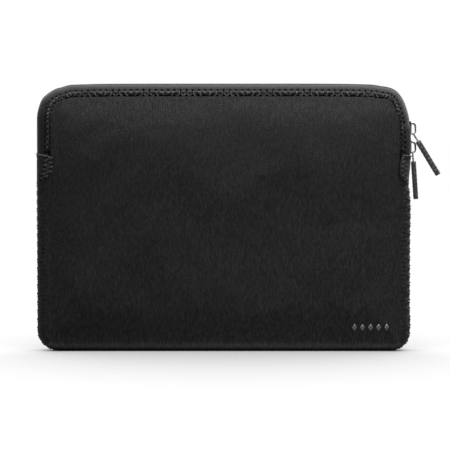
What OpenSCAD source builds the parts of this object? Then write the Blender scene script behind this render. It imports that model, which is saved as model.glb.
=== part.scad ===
// Padded laptop sleeve with a two-slider zip over its top edge and shoulders.
// It stands on its bottom edge. The origin is the middle of that edge, halfway through
// the thickness. X runs along the width, Z is up, and the front face looks towards -Y.
//
// The pieces are drawn lying on their backs, with x across, y up the face and z towards
// the front face, and stand_up() raises them. Edge pieces are sections swept round the
// outline. In a section, x is the distance outward from the outline (so the sleeve is at
// negative x) and y is the distance from the middle plane towards the front or the back.

/* [Sleeve] */
// Width over the edges
sleeve_w = 325; // [300:1:380]
// Height over the edges
sleeve_h = 233; // [220:1:270]
// Thickness over the two faces
sleeve_t = 24; // [24:0.5:30]
// Outline radius of the top corners
top_r = 35; // [32:1:42]
// Outline radius of the bottom corners
bottom_r = 18; // [15:1:26]
// Radius over which each face rolls into the edge
edge_r = 7; // [7:0.25:8]

/* [Laminate] */
// Thickness of the knitted outer fabric
knit_t = 0.6; // [0.4:0.1:0.8]
// Thickness of the foam rubber core
foam_t = 2.8; // [2:0.1:3.2]
// Thickness of the soft lining
lining_t = 0.6; // [0.4:0.1:0.8]
// Thickness of the thread layer over the closed edge
seam_t = 0.35; // [0.2:0.05:0.5]
// Width of the thread layer over the closed edge
seam_w = 6.4; // [4:0.2:8]
// Width of the binding strips inside
binding_w = 7; // [5:0.5:8]
// Thickness of the binding strips inside
binding_t = 0.55; // [0.3:0.05:0.8]

/* [Zip] */
// Width of the zip band seen on each face
band_w = 10.5; // [9.5:0.5:12]
// Depth of the zip tape below the coil's crest
tape_sink = 1.6; // [1.4:0.1:1.8]
// Thickness of the zip tape
tape_t = 0.7; // [0.5:0.05:0.8]
// Width of one half of the coil
coil_w = 2.4; // [2:0.1:2.6]
// Space between the two halves of the coil, where the sliders' posts run
coil_space = 1.6; // [1.4:0.1:2]
// Width of the sewn zigzag beside the panel
zigzag_w = 5.7; // [4:0.1:6]
// Thickness of the sewn threads
thread_t = 0.3; // [0.2:0.05:0.3]

/* [End tabs] */
// Height of the end tabs' top edge above the bottom of the sleeve
tab_top = 170.2; // [165:0.1:171]
// Height at which a tab's inner side starts to slant outward
tab_knee = 151.7; // [150:0.1:155]
// Height of a tab's lowest point
tab_low = 146.7; // [140:0.1:148]
// Width of a tab on the face
tab_w = 9.5; // [8:0.1:10]
// Thickness of a tab
tab_t = 1.2; // [0.8:0.1:1.2]

/* [Mouth] */
// Height of the mouth's fold line at the left edge
fold_left = 174; // [173:0.5:178]
// Height of the mouth's fold line at the right edge, above both sliders
fold_right = 204; // [203:0.5:210]

/* [Sliders and pulls] */
// Height of the upper slider's middle
upper_z = 194.3; // [194.3:0.1:195]
// Height of the lower slider's middle
lower_z = 178; // [177:0.1:178.5]
// Length of a slider's body along the zip
slider_len = 11; // [10:0.1:11]
// Width of a slider's body across the zip
slider_w = 9.2; // [8.6:0.1:9.4]
// Thickness of a slider's plates
plate_t = 1; // [0.8:0.1:1.1]
// Reach of a slider's crown beyond the edge of the sleeve
crown_reach = 5.9; // [5:0.1:6.5]
// Length of a slider's crown along the zip
crown_len = 10.7; // [10:0.1:10.7]
// Thickness of a slider's crown
crown_t = 1.1; // [0.8:0.1:1.2]
// Width of a slider's crown
crown_w = 2.6; // [2:0.1:3]
// Diameter of the pulls' wire
wire_d = 1; // [0.8:0.1:1]
// Width of a wire loop between the middles of its legs
loop_w = 5.2; // [5:0.1:6]
// Length of wire between the pivot and the top of the cord grip
wire_len = 10; // [9.5:0.1:12]
// Length of a cord grip
cord_len = 32.4; // [25:0.1:33]
// Thickness of a cord grip
cord_t = 4; // [3:0.1:4]
// Width of a cord grip
cord_w = 7; // [7:0.1:9]
// Angle at which the upper pull rests, away from hanging straight
upper_rest = 31.5; // [31:0.5:33]
// Angle at which the lower pull rests, away from hanging straight
lower_rest = 4; // [3.5:0.5:5]

/* [Printed mark] */
// Distance of the mark's middle from the sleeve's middle
mark_x = 128; // [100:1:130]
// Height of the mark's middle
mark_z = 21; // [18:1:30]
// Number of diamonds in the mark
mark_count = 5; // [3:1:6]
// Distance between two diamonds
mark_pitch = 7; // [6:0.5:8]
// Half of a diamond's width
mark_half_w = 2; // [1:0.1:2.5]
// Half of a diamond's height
mark_half_h = 3.2; // [2:0.1:4]
// Thickness of the print
mark_t = 0.1; // [0.05:0.05:0.2]

/* [Hidden] */
$fn = 72;

half_w = sleeve_w / 2;
half_t = sleeve_t / 2;
skin_gap = 0.05; // between bonded layers
big = 2 * sleeve_w; // longer than anything in the sleeve

// Depths of the laminate's layers below the face
knit_top = 0;
knit_bottom = knit_top + knit_t;
foam_top = knit_bottom + skin_gap;
foam_bottom = foam_top + foam_t;
lining_top = foam_bottom + skin_gap;
lining_bottom = lining_top + lining_t;
binding_top = lining_bottom + skin_gap;

// Closed edge: the panels meet here and the thread layer runs over them
closed_inset = seam_t + skin_gap;
meet_gap = 0.3; // from the middle plane to each panel's edge
closed_top = tab_knee + 2; // above the highest place where a closed edge shows

// Zip
tape_bottom = tape_sink + tape_t;
tape_edge = coil_space / 2 + 0.3; // from the middle plane to the tape's inner edge
tape_gap = 0.1; // between the tape and the panel's edge
zip_low = tab_knee; // where the tapes end, under the tabs
coil_low = tab_top + 0.3; // where the coil ends, above the tabs
thread_top = tape_sink - skin_gap - thread_t;

// Mouth's fold
fold_slope = (fold_right - fold_left) / sleeve_w;
fold_gap = 0.2; // kept clear between the pieces on each side of the fold

// Sliders
plate_lift = 0.25; // the outer plate's clearance above the coil
chain_space = 1.3; // the inner plate's clearance under the tape, for the corner
plate_top = plate_lift + plate_t;
inner_plate_top = -tape_bottom - chain_space;
flange_t = 1;
flange_end = -tape_sink + 0.3;
post_w = 1.3;
post_len = 3.2;
post_inset = 0.6; // from the end of the body
crown_shift = -0.65; // the crown's middle from the body's middle
crown_r = 3.6;
lock_t = 0.35;
lock_w = 1.2;
lock_len = 6.4;
lock_shift = 1; // the lock leaf's middle from the crown's middle

// Pulls
wire_r = wire_d / 2;
elbow_r = 1.2;
pivot_out = 2.9; // the pivot's distance outside the sleeve's edge
pivot_up = crown_shift - crown_len / 2 + 1.7; // the pivot's height from the slider's middle
wire_grip = 2.2; // the loop's length inside the cord
bore_gap = 0.03; // between the wire and the cord moulded round it

// ---- sections ----

// One layer of a rounded edge, from depth top to depth bottom below the surface.
// It runs in over the face as far as reach, and down the edge to wall_from.
module edge_layer(top, bottom, reach, wall_from) {
    translate([-bottom, wall_from])
        square([bottom - top, half_t - edge_r - wall_from]);
    translate([-edge_r, half_t - edge_r])
        intersection() {
            difference() {
                circle(edge_r - top);
                circle(edge_r - bottom);
            }
            square(edge_r);
        }
    if (reach > edge_r)
        translate([-reach, half_t - bottom])
            square([reach - edge_r, bottom - top]);
}

module panel_edge_section(top, bottom) {
    translate([-closed_inset, 0])
        edge_layer(top, bottom, edge_r, meet_gap);
}

module tape_section() {
    edge_layer(tape_sink, tape_bottom, band_w - tape_gap, tape_edge);
}

module coil_section() {
    translate([skin_gap - tape_sink, coil_space / 2])
        square([tape_sink - skin_gap, coil_w]);
}

module zigzag_section() {
    intersection() {
        edge_layer(thread_top, thread_top + thread_t, band_w, 0);
        translate([2 * tape_gap - band_w, 0])
            square([zigzag_w, half_t]);
    }
}

module mouth_binding_section() {
    translate([-band_w - binding_w * 0.7, half_t - binding_top - binding_t])
        square([binding_w, binding_t]);
}

// ---- sweeps round the outline ----

module run(length) {
    rotate([90, 0, 0])
        linear_extrude(length, center = true)
            children();
}

// side is 1 for the right edge and -1 for the left edge
module sweep_leg(side, low, high) {
    translate([side * half_w, (low + high) / 2, 0])
        rotate(90 - side * 90)
            run(high - low)
                children();
}

module sweep_corner(side, height, radius, start) {
    translate([side * (half_w - radius), height, 0])
        rotate(start)
            rotate_extrude(angle = 90)
                translate([radius, 0])
                    children();
}

module sweep_open_edge(low) {
    for (side = [-1, 1])
        sweep_leg(side, low, sleeve_h - top_r)
            children();
    sweep_corner(1, sleeve_h - top_r, top_r, 0)
        children();
    sweep_corner(-1, sleeve_h - top_r, top_r, 90)
        children();
    translate([0, sleeve_h, 0])
        rotate(90)
            run(sleeve_w - 2 * top_r)
                children();
}

module sweep_closed_edge(high) {
    for (side = [-1, 1])
        sweep_leg(side, bottom_r, high)
            children();
    sweep_corner(1, bottom_r, bottom_r, 270)
        children();
    sweep_corner(-1, bottom_r, bottom_r, 180)
        children();
    rotate(-90)
        run(sleeve_w - 2 * bottom_r)
            children();
}

// ---- plan shapes ----

module rounded_plan(half_width, low, high, low_r, high_r) {
    translate([-half_width, low + low_r])
        square([2 * half_width, high - low - low_r - high_r]);
    translate([low_r - half_width, low])
        square([2 * (half_width - low_r), low_r]);
    translate([high_r - half_width, high - high_r])
        square([2 * (half_width - high_r), high_r]);
    for (side = [-1, 1]) {
        translate([side * (half_width - low_r), low + low_r])
            circle(low_r);
        translate([side * (half_width - high_r), high - high_r])
            circle(high_r);
    }
}

// Outline of one tab, or of the wider strip that the zip band takes out of the panels
module tab_plan(side, width, low, high, knee) {
    polygon([
        [side * (half_w - width), high], [side * (half_w - width), knee],
        [side * half_w, low], [side * big, low], [side * big, high]
    ]);
}

module above_fold() {
    offset_up = fold_gap / 2;
    polygon([
        [-half_w - top_r, fold_left + offset_up - fold_slope * top_r],
        [half_w + top_r, fold_right + offset_up + fold_slope * top_r],
        [half_w + top_r, big], [-half_w - top_r, big]
    ]);
}

module below_fold() {
    offset_down = fold_gap / 2;
    polygon([
        [-half_w - top_r, fold_left - offset_down - fold_slope * top_r],
        [half_w + top_r, fold_right - offset_down + fold_slope * top_r],
        [half_w + top_r, -top_r], [-half_w - top_r, -top_r]
    ]);
}

module flat_panel_plan() {
    closed_reach = edge_r + closed_inset;
    difference() {
        union() {
            rounded_plan(half_w - closed_reach, closed_reach, closed_top,
                bottom_r - closed_reach, edge_r / 2);
            rounded_plan(half_w - band_w, closed_top - band_w, sleeve_h - band_w,
                edge_r / 2, top_r - band_w);
        }
        band_cut_plan();
    }
}

module band_cut_plan() {
    for (side = [-1, 1])
        tab_plan(side, band_w, tab_low - 0.5, big, tab_knee - 0.5);
}

// ---- placing ----

module stand_up() {
    rotate([90, 0, 0])
        children();
}

module face_down() {
    mirror([0, 0, 1])
        children();
}

module keep_plan() {
    intersection() {
        children(0);
        linear_extrude(2 * sleeve_t, center = true)
            children(1);
    }
}

// ---- panels ----

module flat_layer(top, bottom) {
    translate([0, 0, half_t - bottom])
        linear_extrude(bottom - top)
            children();
}

module closed_edge_layer(top, bottom) {
    difference() {
        sweep_closed_edge(closed_top)
            panel_edge_section(top, bottom);
        linear_extrude(2 * sleeve_t, center = true)
            band_cut_plan();
    }
}

// The part of a layer below the mouth's fold, with its rolled, closed edge
module lower_layer(top, bottom) {
    closed_edge_layer(top, bottom);
    flat_layer(top, bottom)
        intersection() {
            flat_panel_plan();
            below_fold();
        }
}

// The part of a layer above the mouth's fold
module mouth_layer(top, bottom) {
    flat_layer(top, bottom)
        intersection() {
            flat_panel_plan();
            above_fold();
        }
}

module whole_layer(top, bottom) {
    closed_edge_layer(top, bottom);
    flat_layer(top, bottom)
        flat_panel_plan();
}

module front_panel_knit() {
    color([0.15, 0.15, 0.155])
        stand_up()
            lower_layer(knit_top, knit_bottom);
}

module front_panel_foam() {
    color([0.1, 0.1, 0.1])
        stand_up()
            lower_layer(foam_top, foam_bottom);
}

module front_panel_lining() {
    color([0.3, 0.3, 0.31])
        stand_up()
            lower_layer(lining_top, lining_bottom);
}

module mouth_panel_knit() {
    color([0.18, 0.18, 0.185])
        stand_up()
            mouth_layer(knit_top, knit_bottom);
}

module mouth_panel_foam() {
    color([0.1, 0.1, 0.1])
        stand_up()
            mouth_layer(foam_top, foam_bottom);
}

module mouth_panel_lining() {
    color([0.3, 0.3, 0.31])
        stand_up()
            mouth_layer(lining_top, lining_bottom);
}

module back_panel_knit() {
    color([0.15, 0.15, 0.155])
        stand_up()
            face_down()
                whole_layer(knit_top, knit_bottom);
}

module back_panel_foam() {
    color([0.1, 0.1, 0.1])
        stand_up()
            face_down()
                whole_layer(foam_top, foam_bottom);
}

module back_panel_lining() {
    color([0.3, 0.3, 0.31])
        stand_up()
            face_down()
                whole_layer(lining_top, lining_bottom);
}

// ---- seams and bindings ----

module edge_seam_thread() {
    color([0.12, 0.12, 0.12])
        stand_up()
            sweep_closed_edge(tab_low - 1)
                translate([-seam_t, -seam_w / 2])
                    square([seam_t, seam_w]);
}

module edge_seam_binding() {
    color([0.2, 0.2, 0.2])
        stand_up()
            sweep_closed_edge(tab_low - 1)
                translate([-closed_inset - binding_top - binding_t, -binding_w / 2])
                    square([binding_t, binding_w]);
}

module mouth_front_binding() {
    color([0.2, 0.2, 0.2])
        stand_up()
            keep_plan() {
                sweep_open_edge(zip_low)
                    mouth_binding_section();
                above_fold();
            }
}

module mouth_back_binding() {
    color([0.2, 0.2, 0.2])
        stand_up()
            face_down()
                sweep_open_edge(zip_low)
                    mouth_binding_section();
}

// ---- zip ----

module front_zip_tape() {
    color([0.22, 0.22, 0.225])
        stand_up()
            keep_plan() {
                sweep_open_edge(zip_low)
                    tape_section();
                above_fold();
            }
}

module front_zip_tape_ends() {
    color([0.22, 0.22, 0.225])
        stand_up()
            keep_plan() {
                sweep_open_edge(zip_low)
                    tape_section();
                below_fold();
            }
}

module back_zip_tape() {
    color([0.22, 0.22, 0.225])
        stand_up()
            face_down()
                sweep_open_edge(zip_low)
                    tape_section();
}

module front_zip_coil() {
    color([0.08, 0.08, 0.08])
        stand_up()
            keep_plan() {
                sweep_open_edge(coil_low)
                    coil_section();
                above_fold();
            }
}

module front_zip_coil_end() {
    color([0.08, 0.08, 0.08])
        stand_up()
            keep_plan() {
                sweep_open_edge(coil_low)
                    coil_section();
                below_fold();
            }
}

module back_zip_coil() {
    color([0.08, 0.08, 0.08])
        stand_up()
            face_down()
                sweep_open_edge(coil_low)
                    coil_section();
}

module front_zip_stitching() {
    color([0.26, 0.26, 0.26])
        stand_up()
            keep_plan() {
                sweep_open_edge(coil_low)
                    zigzag_section();
                above_fold();
            }
}

module front_zip_stitching_end() {
    color([0.26, 0.26, 0.26])
        stand_up()
            keep_plan() {
                sweep_open_edge(coil_low)
                    zigzag_section();
                below_fold();
            }
}

module back_zip_stitching() {
    color([0.26, 0.26, 0.26])
        stand_up()
            face_down()
                sweep_open_edge(coil_low)
                    zigzag_section();
}

// ---- end tabs ----

// A tab is one folded piece: it wraps the edge from the front face to the back face.
module end_tab(side) {
    keep_plan() {
        sweep_leg(side, tab_low - 2, tab_top + 2) {
            edge_layer(thread_t, thread_t + tab_t, tab_w + 1, 0);
            mirror([0, 1])
                edge_layer(thread_t, thread_t + tab_t, tab_w + 1, 0);
        }
        tab_plan(side, tab_w, tab_low, tab_top, tab_knee);
    }
}

// Two flat zigzags, one on each face of the tab
module tab_stitching(side) {
    stitch_w = tab_w - edge_r;
    for (face = [0, 1])
        mirror([0, 0, face])
            translate([side * (half_w - edge_r - stitch_w / 2), 0, half_t - thread_t + skin_gap])
                translate([-stitch_w / 2, tab_knee + 0.5, 0])
                    cube([stitch_w, tab_top - tab_knee - 2.5, thread_t - skin_gap]);
}

module left_end_tab() {
    color([0.17, 0.17, 0.175])
        stand_up()
            end_tab(-1);
}

module right_end_tab() {
    color([0.17, 0.17, 0.175])
        stand_up()
            end_tab(1);
}

module left_tab_stitching() {
    color([0.26, 0.26, 0.26])
        stand_up()
            tab_stitching(-1);
}

module right_tab_stitching() {
    color([0.26, 0.26, 0.26])
        stand_up()
            tab_stitching(1);
}

// ---- sliders ----

module at_slider(height) {
    translate([half_w, height, 0])
        children();
}

// The two plates with their flanges, joined by the post that parts the coil.
// nose is 1 when the post is at the body's upper end and -1 at its lower end.
module slider_body(nose) {
    post_middle = nose * (slider_len / 2 - post_inset - post_len / 2);
    translate([plate_lift, -slider_len / 2, -slider_w / 2])
        cube([plate_t, slider_len, slider_w]);
    translate([inner_plate_top - plate_t, -slider_len / 2, -slider_w / 2])
        cube([plate_t, slider_len, slider_w]);
    for (face = [0, 1])
        mirror([0, 0, face])
            translate([flange_end, -slider_len / 2, slider_w / 2 - flange_t])
                cube([plate_lift - flange_end, slider_len, flange_t]);
    translate([inner_plate_top, post_middle - post_len / 2, -post_w / 2])
        cube([plate_lift - inner_plate_top, post_len, post_w]);
}

// A block on the outer plate, rounded at its two outer corners
module arch_plan(reach, length, radius) {
    translate([plate_top, -length / 2])
        square([reach - plate_top - radius, length]);
    translate([plate_top, radius - length / 2])
        square([reach - plate_top, length - 2 * radius]);
    for (end = [-1, 1])
        intersection() {
            translate([reach - radius, end * (length / 2 - radius)])
                circle(radius);
            translate([plate_top, -length / 2])
                square([reach - plate_top, length]);
        }
}

module slider_crown() {
    translate([0, crown_shift, -crown_w / 2])
        linear_extrude(crown_w)
            difference() {
                arch_plan(crown_reach, crown_len, crown_r);
                arch_plan(crown_reach - crown_t, crown_len - 2 * crown_t, crown_r - crown_t);
            }
}

// Spring leaf of the lock, lying on the outer plate under the crown
module slider_lock() {
    translate([plate_top, crown_shift + lock_shift - lock_len / 2, -lock_w / 2])
        cube([lock_t, lock_len, lock_w]);
}

module upper_slider_body() {
    color([0.75, 0.75, 0.77])
        stand_up()
            at_slider(upper_z)
                slider_body(-1);
}

module upper_slider_crown() {
    color([0.8, 0.8, 0.82])
        stand_up()
            at_slider(upper_z)
                slider_crown();
}

module upper_slider_lock() {
    color([0.6, 0.6, 0.62])
        stand_up()
            at_slider(upper_z)
                slider_lock();
}

module lower_slider_body() {
    color([0.75, 0.75, 0.77])
        stand_up()
            at_slider(lower_z)
                slider_body(1);
}

module lower_slider_crown() {
    color([0.8, 0.8, 0.82])
        stand_up()
            at_slider(lower_z)
                slider_crown();
}

module lower_slider_lock() {
    color([0.6, 0.6, 0.62])
        stand_up()
            at_slider(lower_z)
                slider_lock();
}

// ---- pulls ----

// A pull is drawn hanging straight down from its pivot, then turned to its rest angle.
module at_pivot(height, angle) {
    translate([half_w + pivot_out, height + pivot_up, 0])
        rotate(angle)
            children();
}

// Closed wire loop: its top bar is the pivot, and its bottom bar is inside the cord
module wire_loop(radius) {
    half_loop = loop_w / 2;
    loop_len = wire_len + wire_grip;
    for (face = [0, 1])
        mirror([0, 0, face]) {
            translate([0, -elbow_r, half_loop])
                rotate([90, 0, 0])
                    cylinder(loop_len - 2 * elbow_r, radius, radius);
            for (end = [0, 1])
                translate([0, end * (-loop_len + 2 * elbow_r) - elbow_r, half_loop - elbow_r])
                    rotate([0, -90, 0])
                        rotate(end * -90)
                            rotate_extrude(angle = 90)
                                translate([elbow_r, 0])
                                    circle(radius, $fn = 48);
        }
    for (end = [0, 1])
        translate([0, -end * loop_len, 0])
            cylinder(loop_w - 2 * elbow_r, radius, radius, center = true);
}

module cord_grip() {
    side_r = cord_t / 2;
    difference() {
        translate([0, -wire_len, 0])
            rotate([90, 0, 0])
                linear_extrude(cord_len) {
                    square([cord_t, cord_w - cord_t], center = true);
                    for (face = [-1, 1])
                        translate([0, face * (cord_w / 2 - side_r)])
                            circle(side_r);
                }
        wire_loop(wire_r + bore_gap);
    }
}

module upper_pull_wire() {
    color([0.8, 0.8, 0.82])
        stand_up()
            at_pivot(upper_z, upper_rest)
                wire_loop(wire_r);
}

module upper_pull_cord() {
    color([0.25, 0.25, 0.26])
        stand_up()
            at_pivot(upper_z, upper_rest)
                cord_grip();
}

module lower_pull_wire() {
    color([0.8, 0.8, 0.82])
        stand_up()
            at_pivot(lower_z, lower_rest)
                wire_loop(wire_r);
}

module lower_pull_cord() {
    color([0.25, 0.25, 0.26])
        stand_up()
            at_pivot(lower_z, lower_rest)
                cord_grip();
}

// ---- printed mark ----

// A plain row of diamonds printed on the front face
module printed_mark() {
    color([0.42, 0.42, 0.42])
        stand_up()
            translate([mark_x, mark_z, half_t])
                for (i = [0 : mark_count - 1])
                    translate([(i - (mark_count - 1) / 2) * mark_pitch, 0, 0])
                        linear_extrude(mark_t)
                            polygon([
                                [-mark_half_w, 0], [0, -mark_half_h],
                                [mark_half_w, 0], [0, mark_half_h]
                            ]);
}

front_panel_knit();
front_panel_foam();
front_panel_lining();
mouth_panel_knit();
mouth_panel_foam();
mouth_panel_lining();
back_panel_knit();
back_panel_foam();
back_panel_lining();
edge_seam_thread();
edge_seam_binding();
mouth_front_binding();
mouth_back_binding();
front_zip_tape();
front_zip_tape_ends();
back_zip_tape();
front_zip_coil();
front_zip_coil_end();
back_zip_coil();
front_zip_stitching();
front_zip_stitching_end();
back_zip_stitching();
left_end_tab();
right_end_tab();
left_tab_stitching();
right_tab_stitching();
upper_slider_body();
upper_slider_crown();
upper_slider_lock();
lower_slider_body();
lower_slider_crown();
lower_slider_lock();
upper_pull_wire();
upper_pull_cord();
lower_pull_wire();
lower_pull_cord();
printed_mark();
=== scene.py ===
"""Looks for the padded laptop sleeve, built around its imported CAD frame.

Shapes are worked out in millimetres and turned into metres by add_piece(). x runs along the
width, z is up, and y runs from the front face (negative) to the back face (positive).

Most pieces are sections swept round the sleeve's outline. A place on such a piece is (s, u, h):
s is the distance along the outline, u the distance outward from it (so the sleeve has u < 0),
and h the distance from the middle plane towards the piece's own face, front or back.
"""

import math

import bpy
import numpy as np
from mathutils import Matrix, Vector


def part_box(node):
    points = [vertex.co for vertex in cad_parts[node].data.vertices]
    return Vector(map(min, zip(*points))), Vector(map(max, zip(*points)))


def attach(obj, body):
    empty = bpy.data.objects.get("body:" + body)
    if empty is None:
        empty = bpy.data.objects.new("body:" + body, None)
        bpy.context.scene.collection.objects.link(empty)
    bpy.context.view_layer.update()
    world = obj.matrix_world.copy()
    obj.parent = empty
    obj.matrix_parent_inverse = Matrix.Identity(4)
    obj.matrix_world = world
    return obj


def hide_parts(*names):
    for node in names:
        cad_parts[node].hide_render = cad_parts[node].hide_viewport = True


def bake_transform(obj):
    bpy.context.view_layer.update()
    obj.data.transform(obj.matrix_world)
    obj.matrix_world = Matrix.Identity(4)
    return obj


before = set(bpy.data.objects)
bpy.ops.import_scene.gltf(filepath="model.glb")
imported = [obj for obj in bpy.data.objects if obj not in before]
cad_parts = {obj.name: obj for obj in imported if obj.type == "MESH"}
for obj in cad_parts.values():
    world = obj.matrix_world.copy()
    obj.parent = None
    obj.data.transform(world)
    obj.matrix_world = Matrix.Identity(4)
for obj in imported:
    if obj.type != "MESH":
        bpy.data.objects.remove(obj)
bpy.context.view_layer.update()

MM = 0.001
FRONT, BACK = -1, 1
RIGHT, LEFT = 1, -1
HALVES = ((FRONT, "fold", "front"), (BACK, "sleeve", "back"))  # side, body, name

# ---- sizes taken from the frame, in millimetres ----


def cad_box(node):
    """The lowest and highest corners of a CAD node, in millimetres."""
    low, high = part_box(node)
    return np.array(low) / MM, np.array(high) / MM


EDGE_X = cad_box("edge_seam_thread")[1][0]
HEIGHT = cad_box("back_zip_coil")[1][2]
HALF_T = cad_box("back_panel_knit")[1][1]
TAB_TOP = cad_box("right_end_tab")[1][2]
TAB_LOW = cad_box("right_end_tab")[0][2]
TAPE_LOW = cad_box("back_zip_tape")[0][2]

# ---- shape of the soft parts, in millimetres ----

STEP = 0.25               # spacing of the outline's points
TOP_R = 31.0              # outline radius of the top corners
LOW_R = {LEFT: 18.0, RIGHT: 15.5}
TOP_BOW = 0.9             # the top edge is this much lower near its corners
# each wave in the right leg: its height, how far it stands out, and its reach up and down
RIGHT_WAVES = ((25, 0.5, 8), (120, 0.3, 14), (149, -0.9, 8), (182, 1.1, 18), (211, -1.2, 10))
RIGHT_OUT = 0.8           # the right leg stands out this much below its end tab
# each wave in the top corners: its angle above the horizontal, how far it stands out, its spread
CORNER_WAVES = {RIGHT: ((53, 0.9, 13), (80, -0.7, 9)), LEFT: ((36, 0.9, 12), (74, -0.8, 10))}
ROLL_R = 7.0              # radius over which a face rolls into the closed edge
SEAM_INSET = 0.4          # the panels stop this far inside the closed edge's thread
SEAM_GAP = 0.15           # and this far from the middle plane
INNER_D = 16.5            # a sheet's inner grid stops this far inside the outline
CLOSED_TO, OPEN_FROM = 146.0, 152.0  # the closed edge turns into the zip's hem between these heights

# (right leg, top, left leg)
BAND = (9.5, 11.2, 12.0)       # width of the zip band
LEFT_BAND_LOW = 3.6            # width of the left band at the foot of its end tab
ZIGZAG = (2.3, 3.9, 2.6)       # width of the zigzag stitching
GROOVE_SHADE = (0.35, 0.10, 0.30)    # painted shade in the groove: how pale the tape and its zigzag stay where they meet the hem
STITCH_PITCH = (4.5, 5.35, 4.5)  # from one zigzag stitch to the next
HOLE_REACH = 0.8               # the needle holes lie this far beyond the stitches' heads
SEAM_PITCH = (3.7, 2.65, 3.7)  # overedge thread pitch on the right side, the bottom, the left side

DIP_LOW, DIP_TOP = 0.8, 0.9    # how far the face sinks beside its sewn edge
EDGE_WIDTH, DIP_REACH = 11.0, 12.0   # the dip covers the sewn edge and fades over DIP_REACH
TOP_LEAN, LEAN_REACH = 2.3, 30.0     # the panels lean together towards the top
PILLOW = 0.9                   # highest wrinkle or swelling of a face


def smooth(low, high, value):
    """0 below low, 1 above high, and an S-curve between them."""
    t = np.clip((value - low) / (high - low), 0.0, 1.0)
    return t * t * (3 - 2 * t)


# ---- the outline ----


def build_outline():
    """Points, outward directions and distances along the outline, counter-clockwise seen from
    the front, from the middle of the bottom edge."""
    corners = (
        (EDGE_X - LOW_R[RIGHT], LOW_R[RIGHT], LOW_R[RIGHT], -90),
        (EDGE_X - TOP_R, HEIGHT - TOP_R, TOP_R, 0),
        (TOP_R - EDGE_X, HEIGHT - TOP_R, TOP_R, 90),
        (LOW_R[LEFT] - EDGE_X, LOW_R[LEFT], LOW_R[LEFT], 180),
    )
    knots = [(0.0, 0.0)]
    for centre_x, centre_z, radius, start in corners:
        for angle in np.radians(np.linspace(start, start + 90, 91)):
            knots.append((centre_x + radius * math.cos(angle), centre_z + radius * math.sin(angle)))
    knots = np.array(knots + [(0.0, 0.0)])
    along = np.append(0, np.cumsum(np.linalg.norm(np.diff(knots, axis=0), axis=1)))
    even = np.arange(0, along[-1], STEP)
    x, z = np.interp(even, along, knots[:, 0]), np.interp(even, along, knots[:, 1])
    rightness = np.clip(x / EDGE_X, 0, 1) ** 8
    for height, outward, spread in RIGHT_WAVES:
        x = x + rightness * outward * np.exp(-((z - height) / spread) ** 2)
    x = x + rightness * RIGHT_OUT * smooth(150, 125, z)
    for side, waves in CORNER_WAVES.items():
        rel_x, rel_z = side * x - EDGE_X + TOP_R, z - HEIGHT + TOP_R
        angle = np.degrees(np.arctan2(rel_z, rel_x))
        out = sum(amount * np.exp(-((angle - at) / spread) ** 2) for at, amount, spread in waves)
        x = x + side * out * np.cos(np.radians(angle))
        z = z + out * np.sin(np.radians(angle))
    z = z - TOP_BOW * np.clip(np.abs(x) / (EDGE_X - TOP_R), 0, 1) ** 6 * (z / HEIGHT) ** 8
    points = np.stack([x, z], axis=1)
    tangent = np.roll(points, -1, axis=0) - np.roll(points, 1, axis=0)
    tangent /= np.linalg.norm(tangent, axis=1)[:, None]
    outward = np.stack([tangent[:, 1], -tangent[:, 0]], axis=1)
    gaps = np.linalg.norm(np.roll(points, -1, axis=0) - points, axis=1)
    return points, outward, np.append(0, np.cumsum(gaps)[:-1]), gaps.sum()


POINTS, OUTWARD, ALONG, GIRTH = build_outline()


def s_near(x, z):
    """Distance along the outline of the point nearest to (x, z)."""
    return ALONG[np.argmin((POINTS[:, 0] - x) ** 2 + (POINTS[:, 1] - z) ** 2)]


def s_on_leg(z, side):
    """Distance along the outline at height z on the right or the left leg."""
    leg = (POINTS[:, 0] * side > EDGE_X - 6) & (POINTS[:, 1] > 20) & (POINTS[:, 1] < 205)
    return np.interp(z, POINTS[leg, 1][::side], ALONG[leg][::side])


def place(s, u, h, side):
    """Points in millimetres. s, u and h broadcast together."""
    s, u, h = np.broadcast_arrays(s, u, h)
    x, z, out_x, out_z = (np.interp(s, ALONG, values, period=GIRTH) for values in
                          (POINTS[:, 0], POINTS[:, 1], OUTWARD[:, 0], OUTWARD[:, 1]))
    return np.stack([x + u * out_x, side * h, z + u * out_z], axis=-1)


def height_at(s):
    return np.interp(s, ALONG, POINTS[:, 1], period=GIRTH)


TOP_TURNS = (s_on_leg(HEIGHT - TOP_R, RIGHT), s_near(EDGE_X - TOP_R, HEIGHT),
             s_near(TOP_R - EDGE_X, HEIGHT), s_on_leg(HEIGHT - TOP_R, LEFT))


def on_top(s, values):
    """values are for the right leg, the top and the left leg."""
    right, top, left = values
    return np.interp(s, TOP_TURNS, (right, top, top, left))


def band_at(s):
    """Width of the zip band. It narrows under the left end tab."""
    s = s % GIRTH
    below = smooth(TAB_TOP + 1, TAPE_LOW - 2, height_at(s)) * (s > GIRTH / 2)
    return on_top(s, BAND) * (1 - below) + LEFT_BAND_LOW * below


STITCH_PHASE = np.cumsum(STEP / on_top(ALONG, STITCH_PITCH))
on_bottom = (height_at(ALONG) < 2.0).astype(float)
SEAM_PHASE = np.cumsum(STEP / (SEAM_PITCH[0] + (SEAM_PITCH[1] - SEAM_PITCH[0]) * on_bottom))


def stitch_phase(s):
    """Zigzag stitches up to s. A whole number is the stitch's needle hole."""
    return np.interp(s, ALONG, STITCH_PHASE)


def seam_phase(s):
    """Overedge stitches up to s, from the middle of the bottom edge."""
    s = np.asarray(s)
    return np.interp(s % GIRTH, ALONG, SEAM_PHASE) + np.floor(s / GIRTH) * SEAM_PHASE[-1]


# ---- meshes ----


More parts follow.
